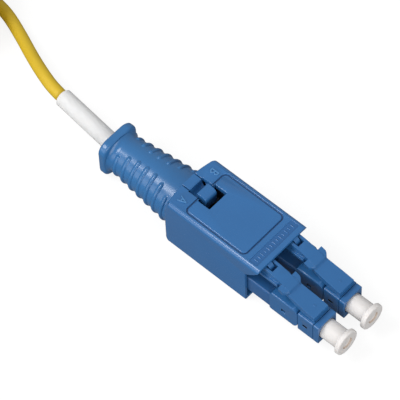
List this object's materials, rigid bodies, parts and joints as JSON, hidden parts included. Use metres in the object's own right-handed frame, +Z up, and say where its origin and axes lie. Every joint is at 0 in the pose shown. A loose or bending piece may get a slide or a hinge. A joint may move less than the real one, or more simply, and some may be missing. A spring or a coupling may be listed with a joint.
{
  "type": "duplex LC fibre connector",
  "caption": "Duplex push-pull LC plug with sliding shell, windowed lock, two sprung latches, white dust caps, ribbed boot, white sleeve and yellow fibre cable.",
  "frame": {"origin": "on the flat underside of the sliding shell, midway between the two plug axes, near the middle of the shell's length", "axes": "+X is the mating direction, towards the dust caps; +Z is up, towards the latches and the lock window; +Y is to the left seen from behind the connector"},
  "size_m": [0.1422, 0.0211, 0.0118],
  "materials": {
    "shell_blue": "satin moulded",
    "boot_blue": "soft satin",
    "plug_blue": "satin moulded",
    "inner_blue": "satin moulded",
    "cap_white": "milky, slightly translucent",
    "sleeve_white": "smooth",
    "jacket_yellow": "smooth",
    "tie_black": "matte",
    "ceramic": "polished zirconia",
    "flange_metal": "turned",
    "spring_steel": "drawn wire",
    "crimp_metal": "turned",
    "fibre_buffer": "smooth"
  },
  "bodies": {
    "carrier": {"inner_body": "inner_blue", "inner_cover": "inner_blue", "crimp_ring": "crimp_metal", "cable_sleeve": "sleeve_white", "cable_in_boot": "jacket_yellow", "cable_run": "jacket_yellow", "cable_coil": "jacket_yellow", "coil_tie": "tie_black", "plug_frame_a": "plug_blue", "plug_shell_a": "plug_blue", "latch_ring_a": "plug_blue", "spring_stop_a": "plug_blue", "fibre_a": "fibre_buffer", "spring_a": "spring_steel", "plug_frame_b": "plug_blue", "plug_shell_b": "plug_blue", "latch_ring_b": "plug_blue", "spring_stop_b": "plug_blue", "fibre_b": "fibre_buffer", "spring_b": "spring_steel"},
    "housing": {"outer_housing": "shell_blue", "pull_boot": "boot_blue"},
    "lock": {"lock_lever": "shell_blue"},
    "latch_a": {"latch_arm_a": "plug_blue"},
    "ferrule_a": {"ferrule_a": "ceramic", "ferrule_flange_a": "flange_metal"},
    "cap_a": {"dust_cap_a": "cap_white"},
    "latch_b": {"latch_arm_b": "plug_blue"},
    "ferrule_b": {"ferrule_b": "ceramic", "ferrule_flange_b": "flange_metal"},
    "cap_b": {"dust_cap_b": "cap_white"}
  },
  "joints": [
    {"name": "housing_slide", "type": "slide", "parent": "carrier", "child": "housing", "axis": [1, 0, 0], "range_m": [-0.0014, 0], "stiffness_N_per_m": 800},
    {"name": "lock_press", "type": "hinge", "parent": "carrier", "child": "lock", "pos_m": [-0.0082, 0, 0.0103], "axis": [0, 1, 0], "range_deg": [0, 13], "stiffness_Nm_per_rad": 0.01},
    {"name": "latch_a_hinge", "type": "hinge", "parent": "carrier", "child": "latch_a", "pos_m": [0.022, -0.00313, 0.0072], "axis": [0, 1, 0], "range_deg": [-5.5, 0]},
    {"name": "ferrule_a_float", "type": "slide", "parent": "carrier", "child": "ferrule_a", "axis": [1, 0, 0], "range_m": [-0.0008, 0], "stiffness_N_per_m": 600, "deforming": ["spring_a"]},
    {"name": "cap_a_pull", "type": "slide", "parent": "ferrule_a", "child": "cap_a", "axis": [1, 0, 0], "range_m": [0, 0.008]},
    {"name": "latch_b_hinge", "type": "hinge", "parent": "carrier", "child": "latch_b", "pos_m": [0.022, 0.00313, 0.0072], "axis": [0, 1, 0], "range_deg": [-5.5, 0]},
    {"name": "ferrule_b_float", "type": "slide", "parent": "carrier", "child": "ferrule_b", "axis": [1, 0, 0], "range_m": [-0.0008, 0], "stiffness_N_per_m": 600, "deforming": ["spring_b"]},
    {"name": "cap_b_pull", "type": "slide", "parent": "ferrule_b", "child": "cap_b", "axis": [1, 0, 0], "range_m": [0, 0.008]}
  ],
  "couplings": [
    {"joint": "latch_a_hinge", "follows": "housing_slide", "rad_per_m": 64},
    {"joint": "latch_b_hinge", "follows": "housing_slide", "rad_per_m": 64}
  ]
}
